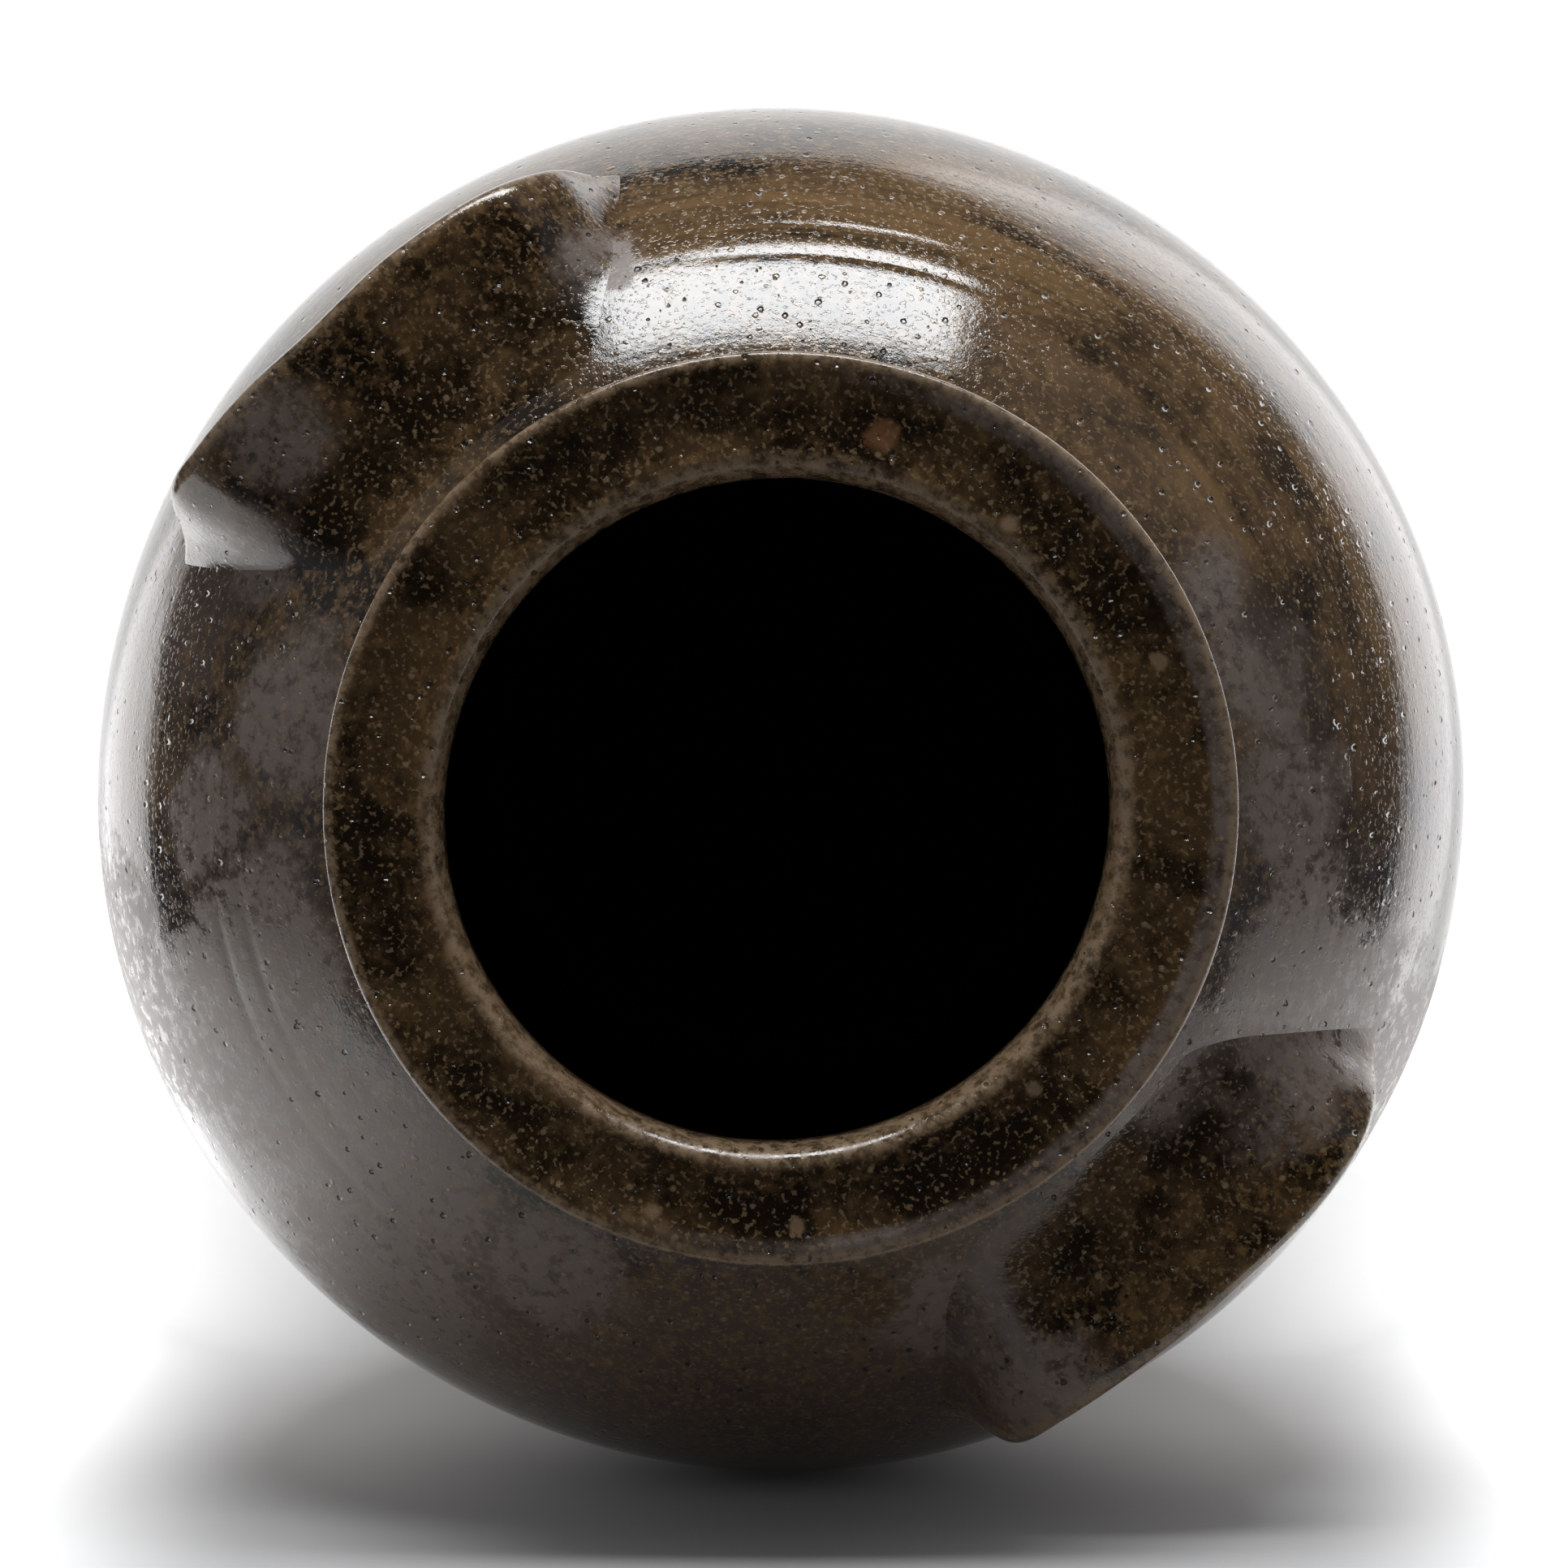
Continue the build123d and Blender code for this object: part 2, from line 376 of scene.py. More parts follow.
# %% Rim collar
def rim_outline():
    heel = Vector((rim_radius - rim_taper, jar_height - rim_band))
    cove = Vector((heel.x - rim_heel, cove_height))
    edge_low = Vector((rim_radius, jar_height - rim_rounding))
    edge_top = Vector((rim_radius - rim_rounding, jar_height))
    land = edge_top - Vector((rim_land, 0))
    crest = Vector((throat_radius + lip_width, jar_height - lip_crest_drop))
    dish = (land + crest) / 2 - Vector((0, 2 * rim_dish))
    throat = (throat_radius, throat_height)
    corners = [
        ([(neck_radius, neck_height), (neck_radius - cove_width, cove_height), cove], 12),
        ([cove, (heel.x, cove_height), heel], 8),
        ([heel, edge_low], 10),
        ([edge_low, (rim_radius, jar_height), edge_top], 8),
        ([edge_top, land], 3),
        ([land, dish, crest], 40),
        ([crest, (throat_radius, crest.y), throat], 20),
        ([throat, throat_knee, throat_foot], 20),
    ]
    outside = wall_line(outer, rim_seam, neck_height, shoulder_row)
    line = outside[:-1]
    for points, count in corners:
        line += bezier(points, count)[:-1]
    line = [point for point in line if point.y > rim_seam or point.x > 0.08]
    return line + seat_line(rim_seam)[::-1], len(outside)


def bump(value, middle, width):
    away = (value - middle) / width
    return exp(-away * away)


def rim_marks(place):
    """Thin glaze over the lip and the outer ridge, a pool in the dish between them."""
    radius = sqrt(place.x ** 2 + place.y ** 2)
    ridge = soft_step(radius, 0.0990, 0.1006) * soft_step(place.z, 0.387, 0.392)
    lip = (1 - soft_step(radius, 0.0775, 0.0812)) * soft_step(place.z, 0.384, 0.394)
    pool = bump(radius, 0.0905, 0.0085) * soft_step(place.z, 0.395, 0.398)
    lining = (1 - soft_step(place.z, 0.376, 0.392)) * (1 - soft_step(radius, 0.079, 0.082))
    return max(ridge, lip), pool, lining


rim_line, rim_skin = rim_outline()
rim_piece = turned("glazed_rim", rim_line, 480, rim_skin, rim_marks)

# %% [markdown]
# ## The lugs
#
# A lug is a slab of clay bent over the thumb: dished above, hollow below, thickest at its
# crest and pinched into the shoulder at both ends. A flat grid is rolled into it. One
# direction of the grid runs along the lug through a table of sections, the other runs round
# each section, out over the top, round the crest, back underneath and home inside the wall.

# %% Sections of a lug
lug_height = 0.3575
lug_sag = 0.0355
lug_length = 0.130
lug_projection = 0.0315
lug_thickness = 0.014
lug_root = 0.028
lug_rise = 0.008
lug_dish = 0.0025
lug_bury = 0.005
lug_skirt = 0.006
lug_skin_gap = 0.0003
lug_cling = (0.62, 0.96)
lug_home_depth = 0.004
lug_roughness = 0.0009
lug_waist_share = 2.6
lug_crest_share = 2.3
lug_under_shares = (0.20, 0.62)
lug_top_shares = ((0.38, 1.75), (0.66, 0.90))

# Place along the lug, sag, sink, reach, size and tilt of each section
lug_sections = (
    (-1.15, 1.14, 1.00, 0.00, 0.08, 1.00),
    (-1.06, 1.02, 0.12, 0.01, 0.10, 0.80),
    (-0.97, 0.86, 0.00, 0.13, 0.32, 0.55),
    (-0.84, 0.58, 0.00, 0.44, 0.80, 0.30),
    (-0.64, 0.28, 0.00, 0.74, 1.00, 0.15),
    (-0.36, 0.08, 0.00, 0.925, 1.00, 0.00),
    (0.00, 0.00, 0.00, 1.00, 1.00, 0.00),
    (0.36, 0.08, 0.00, 0.94, 1.00, 0.00),
    (0.66, 0.28, 0.00, 0.80, 1.00, 0.15),
    (0.84, 0.56, 0.00, 0.58, 0.88, 0.30),
    (0.97, 0.86, 0.00, 0.16, 0.36, 0.55),
    (1.06, 1.02, 0.12, 0.01, 0.10, 0.80),
    (1.15, 1.14, 1.00, 0.00, 0.08, 1.00),
)


def section_at(share):
    """The section's numbers between the table's rows, on a smooth curve."""
    last = len(lug_sections) - 1
    index = min(int(share * last), last - 1)
    t = share * last - index
    rows = [lug_sections[min(max(index + k, 0), last)] for k in (-1, 0, 1, 2)]
    values = []
    for a, b, c, d in zip(*rows):
        bend = 2 * a - 5 * b + 4 * c - d + t * (3 * (b - c) + d - a)
        values.append(b + 0.5 * t * (c - a + t * bend))
    return values


half_angle = asin(lug_length / 2 / wall_point(outer, lug_height - lug_sag).x)
top_count = 40
under_count = 26
home_count = 6


def lug_frame(share):
    """Root, directions, reach and size of the section at one place along the lug."""
    along, sag, sink, reach, size, tilt = section_at(share)
    root, up, normal = wall_frame(lug_height - sag * lug_sag)
    lean = tilt * atan2(normal.y, normal.x)
    out, over = Vector((cos(lean), sin(lean))), Vector((-sin(lean), cos(lean)))
    return along, sink * lug_bury, root, up, normal, out, over, reach * lug_projection, size


def lug_loop(share):
    """One closed section in radius and height, and its angle round the jar."""
    along, sunk, root, up, normal, out, over, length, size = lug_frame(share)
    root = root - normal * sunk
    tip = root + out * length
    swell = lug_crest_share * lug_thickness / 2 * size
    top, _, top_normal = wall_frame(lug_height + lug_rise)
    skirt, skirt_up, skirt_normal = wall_frame(lug_height + lug_rise + lug_skirt)
    cling = soft_step(abs(along), *lug_cling)
    gap = lug_skin_gap * (1 + 2 * cling) + sunk
    fall = tip - top
    lift = Vector((-fall.y, fall.x)).normalized()
    dish = lug_dish * length / lug_projection
    upper = [skirt - skirt_normal * gap, skirt - skirt_up * lug_skirt * 0.6 - skirt_normal * gap]
    upper.append(top - top_normal * gap)
    for part, dip in lug_top_shares:
        free = top + fall * part - lift * (dip * dish)
        wall, _, wall_normal = wall_frame(free.y)
        upper.append(free.lerp(wall - wall_normal * gap, cling))
    upper += [tip + lift * swell, tip]
    waist = (lug_thickness / 2 - lug_waist_share * lug_dish) * size
    foot = root - up * (lug_root / 2 * size) - normal * (0.6 * lug_bury * size)
    lower = [foot, *[root + out * (part * length) - over * waist for part in lug_under_shares]]
    lower += [tip - over * swell, tip]
    deep = top - top_normal * (gap + lug_home_depth)
    home = [foot, root - normal * lug_home_depth, deep, upper[0]]
    loop = bezier(upper, top_count) + bezier(lower, under_count)[::-1][1:]
    return loop + bezier(home, home_count)[1:], along * half_angle


# %% Rolling a grid into a lug
def rolled(name, loops, side, place_of):
    """Rolls a flat grid so that each of its columns becomes one closed section."""
    columns, rows = len(loops) - 1, len(loops[0][0]) - 1
    bm = bmesh.new()
    thin, pool, lining = glaze_layers(bm)
    bmesh.ops.create_grid(bm, x_segments=columns, y_segments=rows, size=1)
    for vertex in bm.verts:
        column = round((vertex.co.x + 1) / 2 * columns)
        row = round((vertex.co.y + 1) / 2 * rows)
        points, angle = loops[column]
        flat = points[row]
        place = thrown(Vector((flat.x * cos(angle), flat.x * sin(angle), flat.y)))
        place, vertex[thin], vertex[pool] = place_of(place, row / rows, column / columns)
        vertex.co = Vector((side * place.x, place.y, place.z))
    bmesh.ops.remove_doubles(bm, verts=bm.verts, dist=1e-6)
    bmesh.ops.holes_fill(bm, edges=[edge for edge in bm.edges if edge.is_boundary], sides=0)
    bmesh.ops.recalc_face_normals(bm, faces=bm.faces)
    smooth(bm, radians(75))
    return as_object(name, bm)


def lug_skin(side):
    def place_of(place, ring_share, share):
        """Hand-pressed unevenness, with thin glaze on the crest and a pool in the trough."""
        crest = 0.85 * bump(ring_share, 0.50, 0.022)
        ends = soft_step(share, 0.10, 0.28) * soft_step(1 - share, 0.08, 0.24)
        trough = bump(ring_share, 0.235, 0.08) * ends
        free = soft_step(ring_share, 0.14, 0.30) * soft_step(1 - ring_share, 0.2, 0.3)
        rough = noise.noise(place * 40 + Vector((side * 3, 0, 0)))
        lift = Vector((place.x, place.y, 0)).normalized() + Vector((0, 0, 0.6))
        return place + lift * lug_roughness * rough * free * ends, crest, trough
    return place_of


lug_columns = 150
lug_loops = [lug_loop(step / lug_columns) for step in range(lug_columns + 1)]
right_lug = rolled("glazed_lug_right", lug_loops, 1, lug_skin(1))
left_lug = rolled("glazed_lug_left", lug_loops, -1, lug_skin(-1))

# %% [markdown]
# ## Luting under the lugs
#
# Wet clay was pressed into the corner under each lug. It fills the corner with a soft curve
# and fades out before the lug's ends.

# %% Luting strips
luting_leg = 0.007
luting_reach_share = 0.42
luting_ends = (0.32, 0.68)
luting_columns = 60
luting_end_share = 0.03
luting_fade = 0.16
luting_drop = 0.0035
luting_toe_bury = 0.001
luting_back_bury = 0.003
luting_hug = 0.8


def luting_loop(share):
    place = luting_ends[0] + (luting_ends[1] - luting_ends[0]) * share
    along, sunk, root, up, normal, out, over, length, size = lug_frame(place)
    full = soft_step(share, 0, luting_fade) * soft_step(1 - share, 0, luting_fade)
    size = size * (luting_end_share + (1 - luting_end_share) * full)
    corner = root - up * (lug_root / 2)
    reached = root + out * (luting_reach_share * length) - over * luting_drop
    under = corner + (reached - corner) * size
    toe = corner - up * (luting_leg * size) - normal * luting_toe_bury
    inside = corner + up * (luting_leg * size) - normal * luting_back_bury
    chord = (under + toe) / 2
    hug = chord + (corner - chord) * luting_hug
    loop = bezier([under, hug, toe], 12) + bezier([toe, inside, under], 8)[1:]
    return loop, along * half_angle


def as_placed(place, ring_share, share):
    return place, 0, 0


luting_loops = [luting_loop(step / luting_columns) for step in range(luting_columns + 1)]
right_luting = rolled("glazed_right_luting", luting_loops, 1, as_placed)
left_luting = rolled("glazed_left_luting", luting_loops, -1, as_placed)

# %% [markdown]
# ## Camera and studio
#
# The photograph looks almost straight down the jar's axis. The jar was lying on its side, so
# the pale paper that it touches is, in this frame, an upright sweep beside its belly, and
# the soft box faces that sweep from the other side of the jar.

# %% Camera
picture_right = around(radians(228.5))
picture_up = around(radians(318.5))
view_tilt = radians(1.75)
camera_distance = 1.200
focal_share = 6650 / 1932
camera_shift_right = 0.00072
camera_shift_up = 0.00577

camera_up = picture_up * cos(view_tilt) - Vector((0, 0, sin(view_tilt)))
camera_ahead = -picture_up * sin(view_tilt) - Vector((0, 0, cos(view_tilt)))
camera_data = bpy.data.cameras.new("camera")
camera_data.sensor_fit = "HORIZONTAL"
camera_data.sensor_width = 36
camera_data.lens = 36 * focal_share
camera_data.clip_end = 100
camera = bpy.data.objects.new("camera", camera_data)
bpy.context.scene.collection.objects.link(camera)
mouth = Vector((0, 0, jar_height))
spot = mouth + picture_right * camera_shift_right + camera_up * camera_shift_up
spot = spot - camera_ahead * camera_distance
turn = Matrix((picture_right, camera_up, -camera_ahead)).transposed().to_4x4()
camera.matrix_world = Matrix.Translation(spot) @ turn
bpy.context.scene.camera = camera
print("camera at", [round(value, 4) for value in spot])

# %% [markdown]
# ## Lamps
#
# One large soft box lights the shoulder from beyond the upper edge of the picture and gives
# the glaze its bright window. Two weak lamps lie low beside the jar and face up. The wall
# mirrors them as pale bands where it turns away from the eye.

# %% Soft box and edge lights
soft_box_away = 1.6
soft_box_rise = 0.245
soft_box_size = (1.23, 0.52)
soft_box_watts = 28.0
soft_box_colour = (0.97, 0.985, 1.0)
edge_light_colour = (1.0, 0.985, 1.0)
edge_light_height = 0.03
edge_light_depth = 0.31

# Name, angle, distance, width and watts of each edge light
edge_lights = (("edge_right", 250, 0.46, 1.00, 1.4), ("edge_left", 70, 0.42, 0.60, 0.8))


def area_light(name, place, target, width, height, watts, colour):
    data = bpy.data.lights.new(name, "AREA")
    data.shape = "RECTANGLE"
    data.size, data.size_y = width, height
    data.energy = watts
    data.color = colour
    lamp = bpy.data.objects.new(name, data)
    bpy.context.scene.collection.objects.link(lamp)
    lamp.location = place
    lamp.rotation_euler = (target - place).to_track_quat("-Z", "Y").to_euler()
    return lamp


shoulder_middle = Vector((0, 0, 0.36))
soft_box_place = shoulder_middle + picture_up * soft_box_away + Vector((0, 0, soft_box_rise))
area_light("soft_box", soft_box_place, shoulder_middle, *soft_box_size, soft_box_watts, soft_box_colour)
for name, angle, away, width, watts in edge_lights:
    place = around(radians(angle)) * away + Vector((0, 0, edge_light_height))
    lamp = area_light(name, place, place, width, edge_light_depth, watts, edge_light_colour)
    lamp.rotation_euler = (pi, 0, radians(angle - 90))
    lamp.visible_camera = False
print("lamps:", [lamp.name for lamp in bpy.data.lights])


# %% Nodes by name
def link(tree, value, socket):
    """Feeds a socket from another one, or sets it."""
    if isinstance(value, bpy.types.NodeSocket):
        tree.links.new(value, socket)
    else:
        socket.default_value = value


def calculate(tree, operation, a, b=0.0):
    node = tree.nodes.new("ShaderNodeMath")
    node.operation = operation
    link(tree, a, node.inputs[0])
    link(tree, b, node.inputs[1])
    return node.outputs[0]


def between(tree, value, low, high, start=0.0, end=1.0):
    """Eases from start to end while the value goes from low to high."""
    node = tree.nodes.new("ShaderNodeMapRange")
    node.interpolation_type = "SMOOTHSTEP"
    for title, number in (("From Min", low), ("From Max", high), ("To Min", start), ("To Max", end)):
        node.inputs[title].default_value = number
    tree.links.new(value, node.inputs["Value"])
    return node.outputs["Result"]


def place_in_object(tree):
    return tree.nodes.new("ShaderNodeTexCoord").outputs["Object"]


def split(tree, vector):
    node = tree.nodes.new("ShaderNodeSeparateXYZ")
    tree.links.new(vector, node.inputs[0])
    return node.outputs

# %% [markdown]
# ## The room
#
# To the camera the room is plain white. Reflections see something else, a dim studio that
# grows darker overhead, because the real glaze mirrors a dark room. Matt surfaces get an
# even grey fill, so that colours stay close to how they are written.

# %% World
fill_level = 0.36
world = bpy.data.worlds.new("studio")
bpy.context.scene.world = world
world.use_nodes = True
tree = world.node_tree
ramp = tree.nodes.new("ShaderNodeValToRGB")
rays = tree.nodes.new("ShaderNodeLightPath")
look = tree.nodes.new("ShaderNodeMix")
look.data_type = "RGBA"
height = split(tree, tree.nodes.new("ShaderNodeTexCoord").outputs["Generated"])["Z"]
tree.links.new(height, ramp.inputs["Fac"])
stops = ((0.0, (0.10, 0.10, 0.11)), (0.10, (0.22, 0.22, 0.24)), (0.32, (0.22, 0.22, 0.24)),
         (0.52, (0.03, 0.03, 0.03)), (1.0, (0.02, 0.02, 0.02)))
ramp.color_ramp.elements[0].position = stops[0][0]
ramp.color_ramp.elements[1].position = stops[-1][0]
for position, colour in stops[1:-1]:
    ramp.color_ramp.elements.new(position)
for element, (position, colour) in zip(ramp.color_ramp.elements, stops):
    element.color = (*colour, 1)
plain = tree.nodes.new("ShaderNodeMix")
plain.data_type = "RGBA"
plain.inputs[7].default_value = (fill_level, fill_level, fill_level, 1)
tree.links.new(rays.outputs["Is Diffuse Ray"], plain.inputs["Factor"])
tree.links.new(ramp.outputs["Color"], plain.inputs[6])
seen = calculate(tree, "MAXIMUM", rays.outputs["Is Camera Ray"], rays.outputs["Is Transmission Ray"])
tree.links.new(seen, look.inputs["Factor"])
tree.links.new(plain.outputs[2], look.inputs[6])
look.inputs[7].default_value = (1, 1, 1, 1)
tree.links.new(look.outputs[2], tree.nodes["Background"].inputs["Color"])
bpy.context.scene.view_settings.view_transform = "Standard"
print("world stops:", len(ramp.color_ramp.elements))

# %% [markdown]
# ## Paper under and beside the jar
#
# The real paper is plain and pale. A diffuse surface takes the jar's shadow, and a glow that
# only the camera, reflections and clear materials see lifts the rest to white. The glaze
# mirrors that glow, but it casts no light on matt surfaces. The sweep is clear from behind,
# so that it never hides the jar. The sweep's colour also darkens towards the camera, a painted shade.

# %% Paper
full_glow = 0.6
floor_tone = 0.92
sweep_tone = 0.90


def paper(name, colour, glow, one_sided=False):
    """Pale paper that looks lighter to the camera and in reflections, by a mask."""
    material = bpy.data.materials.new(name)
    material.use_nodes = True
    tree = material.node_tree
    tree.nodes.clear()
    finish = tree.nodes.new("ShaderNodeOutputMaterial")
    diffuse = tree.nodes.new("ShaderNodeBsdfDiffuse")
    if callable(colour):
        tree.links.new(colour(tree), diffuse.inputs["Color"])
    else:
        diffuse.inputs["Color"].default_value = (colour, colour, colour, 1)
    shine = tree.nodes.new("ShaderNodeEmission")
    both = tree.nodes.new("ShaderNodeAddShader")
    rays = tree.nodes.new("ShaderNodeLightPath")
    seen = calculate(tree, "MAXIMUM", rays.outputs["Is Camera Ray"], rays.outputs["Is Glossy Ray"])
    seen = calculate(tree, "MAXIMUM", seen, rays.outputs["Is Transmission Ray"])
    tree.links.new(calculate(tree, "MULTIPLY", seen, glow(tree)), shine.inputs["Strength"])
    tree.links.new(diffuse.outputs["BSDF"], both.inputs[0])
    tree.links.new(shine.outputs["Emission"], both.inputs[1])
    surface = both.outputs["Shader"]
    if one_sided:
        back = tree.nodes.new("ShaderNodeNewGeometry").outputs["Backfacing"]
        clear = tree.nodes.new("ShaderNodeBsdfTransparent")
        choice = tree.nodes.new("ShaderNodeMixShader")
        tree.links.new(back, choice.inputs["Fac"])
        tree.links.new(surface, choice.inputs[1])
        tree.links.new(clear.outputs["BSDF"], choice.inputs[2])
        surface = choice.outputs["Shader"]
    tree.links.new(surface, finish.inputs["Surface"])
    return material


def stage_mesh(name, bm, material):
    piece = as_object(name, bm)
    piece.data.materials.append(material)
    return piece


def level_share(tree, direction):
    """How far a place lies from the jar's axis in one level direction."""
    x, y, _ = split(tree, place_in_object(tree))
    return calculate(tree, "ADD", calculate(tree, "MULTIPLY", x, direction.x),
                     calculate(tree, "MULTIPLY", y, direction.y))


def aside(tree):
    """Distance to either side of the jar, growing a little towards the camera."""
    away = calculate(tree, "ABSOLUTE", level_share(tree, picture_right))
    lean = calculate(tree, "MULTIPLY", split(tree, place_in_object(tree))["Z"], 0.1)
    return calculate(tree, "ADD", away, lean)


def floor_glow(tree):
    """An even glow that fades out beside the foot, where the floor meets the sweep."""
    corner = between(tree, level_share(tree, -picture_up), 0.05, 0.19)
    shade = calculate(tree, "MULTIPLY", corner, between(tree, aside(tree), 0.10, 0.27, full_glow, 0.0))
    return calculate(tree, "SUBTRACT", full_glow, shade)


def sweep_glow(tree):
    """Meets the floor's glow at its foot and turns white to both sides."""
    foot = between(tree, split(tree, place_in_object(tree))["Z"], 0.0, 0.06, 1.0, 0.0)
    foot = calculate(tree, "MULTIPLY", foot, floor_glow(tree))
    return calculate(tree, "MAXIMUM", foot, between(tree, aside(tree), 0.155, 0.260))


def sweep_painted_shade(tree):
    """Painted shade on the paper: its colour darkens towards the camera, most of all in front of the
    mouth.
    """
    near = between(tree, split(tree, place_in_object(tree))["Z"], 0.16, 0.36)
    # Painted shade: the paper's colour falls towards the camera, most in front of the mouth.
    fall = calculate(tree, "MULTIPLY", near, between(tree, aside(tree), 0.03, 0.20, 0.62, 0.36))
    return calculate(tree, "SUBTRACT", sweep_tone, fall)


# %% Floor and sweep
floor_radius = 0.62
floor_bm = bmesh.new()
bmesh.ops.create_circle(floor_bm, cap_ends=True, segments=96, radius=floor_radius)
stage_mesh("floor", floor_bm, paper("floor_paper", floor_tone, floor_glow))

sweep_gap = 0.0008
sweep_curl = 0.055
sweep_height = 0.43
sweep_half_width = 0.6
wall_at = belly_radius + wall_unevenness + sweep_gap
sweep_line = bezier([(wall_at - sweep_curl, 0.0002), (wall_at, 0.0002), (wall_at, sweep_curl)], 12)
sweep_line.append(Vector((wall_at, sweep_height)))
sweep_bm = bmesh.new()
strip_end = -picture_right * sweep_half_width
strip = [
    sweep_bm.verts.new(-picture_up * point.x + strip_end + Vector((0, 0, point.y)))
    for point in sweep_line
]
strip_edges = [sweep_bm.edges.new(pair) for pair in zip(strip, strip[1:])]
drawn = bmesh.ops.extrude_edge_only(sweep_bm, edges=strip_edges)
moved = [element for element in drawn["geom"] if isinstance(element, bmesh.types.BMVert)]
bmesh.ops.translate(sweep_bm, verts=moved, vec=picture_right * 2 * sweep_half_width)
sweep_bm.normal_update()
if sweep_bm.faces[:][-1].normal.dot(picture_up) < 0:
    bmesh.ops.reverse_faces(sweep_bm, faces=sweep_bm.faces)
smooth(sweep_bm)
stage_mesh("paper_sweep", sweep_bm, paper("sweep_paper", sweep_painted_shade, sweep_glow, one_sided=True))

# %% [markdown]
# ## Glaze from nodes
#
# The glaze is one material with a few causes behind it. Where it lay thick it is nearly
# black, on the shoulder it is amber brown and streaky, in places it turned to a grey haze
# that no longer shines, and over edges it is so thin that the tan clay shows. Fine sand in
# the clay gives tan specks, and burst bubbles leave pits.


# %% Shared effects as node groups
def new_group(name, inputs, outputs):
    tree = bpy.data.node_groups.new(name, "ShaderNodeTree")
    for title, kind in inputs:
        tree.interface.new_socket(title, in_out="INPUT", socket_type=kind)
    for title, kind in outputs:
        tree.interface.new_socket(title, in_out="OUTPUT", socket_type=kind)
    return tree, tree.nodes.new("NodeGroupInput").outputs, tree.nodes.new("NodeGroupOutput").inputs


def noise_fac(tree, vector, scale, detail, roughness=0.55):
    node = tree.nodes.new("ShaderNodeTexNoise")
    node.inputs["Scale"].default_value = scale
    node.inputs["Detail"].default_value = detail
    node.inputs["Roughness"].default_value = roughness
    tree.links.new(vector, node.inputs["Vector"])
    return node.outputs["Fac"]


def scaled(tree, vector, factors):
    node = tree.nodes.new("ShaderNodeVectorMath")
    node.operation = "MULTIPLY"
    node.inputs[1].default_value = factors
    tree.links.new(vector, node.inputs[0])
    return node.outputs["Vector"]


def dots(tree, vector, scale, small, large, rare):
    """Round marks of uneven size, in only some of the cells."""
    cells = tree.nodes.new("ShaderNodeTexVoronoi")
    cells.inputs["Scale"].default_value = scale
    tree.links.new(vector, cells.inputs["Vector"])
    chance, kind, _ = split(tree, cells.outputs["Color"])
    size = between(tree, kind, 0.0, 1.0, small, large)
    share = calculate(tree, "DIVIDE", cells.outputs["Distance"], size)
    inside = between(tree, share, 0.55, 1.15, 1.0, 0.0)
    return calculate(tree, "MULTIPLY", inside, calculate(tree, "GREATER_THAN", chance, rare))


def shaken(tree, vector, reach, scale):
    """The same places, each pushed a little by noise, so that round marks grow ragged."""
    node = tree.nodes.new("ShaderNodeTexNoise")
    node.inputs["Scale"].default_value = scale
    node.inputs["Detail"].default_value = 3
    tree.links.new(vector, node.inputs["Vector"])
    push = tree.nodes.new("ShaderNodeVectorMath")
    push.operation = "MULTIPLY_ADD"
    push.inputs[1].default_value = (reach, reach, reach)
    tree.links.new(node.outputs["Color"], push.inputs[0])
    tree.links.new(vector, push.inputs[2])
    return push.outputs["Vector"]


FLOAT = "NodeSocketFloat"
grain_group, _, outlets = new_group("jar_grain", (), [(title, FLOAT) for title in (
    "Mottle", "Fine", "Rings", "Specks", "Grit", "Pits", "Ragged")])
tree = grain_group
here = place_in_object(tree)
uneven = shaken(tree, here, 0.0010, 700)
tree.links.new(noise_fac(tree, here, 32, 7, 0.66), outlets["Mottle"])
tree.links.new(noise_fac(tree, here, 300, 5, 0.68), outlets["Fine"])
tree.links.new(noise_fac(tree, scaled(tree, here, (5, 5, 190)), 1.0, 5, 0.62), outlets["Rings"])
sand = noise_fac(tree, scaled(tree, here, (1, 1, 1.3)), 780, 2, 0.5)
tree.links.new(between(tree, sand, 0.56, 0.66), outlets["Specks"])
tree.links.new(dots(tree, uneven, 280, 0.09, 0.24, 0.58), outlets["Grit"])
tree.links.new(dots(tree, scaled(tree, uneven, (1, 1, 0.55)), 270, 0.09, 0.22, 0.45), outlets["Pits"])
tree.links.new(noise_fac(tree, here, 48, 9, 0.72), outlets["Ragged"])

patch_inputs = (("Centre", "NodeSocketVector"), ("Size", FLOAT), ("Ragged", FLOAT))
patch_group, inlets, outlets = new_group("ragged_patch", patch_inputs, (("Mask", FLOAT),))
tree = patch_group
gap = tree.nodes.new("ShaderNodeVectorMath")
gap.operation = "DISTANCE"
tree.links.new(place_in_object(tree), gap.inputs[0])
tree.links.new(inlets["Centre"], gap.inputs[1])
share = calculate(tree, "DIVIDE", gap.outputs["Value"], inlets["Size"])
edge = calculate(tree, "ADD", share, calculate(tree, "MULTIPLY", inlets["Ragged"], 2.0))
tree.links.new(between(tree, edge, 1.56, 2.20, 1.0, 0.0), outlets["Mask"])
print("node groups:", [group.name for group in bpy.data.node_groups])

# %% [markdown]
# ## Zones of the glaze
#
# A kiln never heats a pot evenly, so the glaze differs from side to side. Each zone is a
# place on the wall, as an angle in degrees and a height, with a size. Noise makes its edge
# ragged, so a few rows describe the whole shoulder. The plum zones, most of them on the side
# that faces the sweep, are also painted fill light: they lift the glaze where little light falls.

# %% Where the glaze changed
def on_wall(angle, height):
    point = wall_point(outer, height)
    return around(radians(angle)) * point.x + Vector((0, 0, point.y))


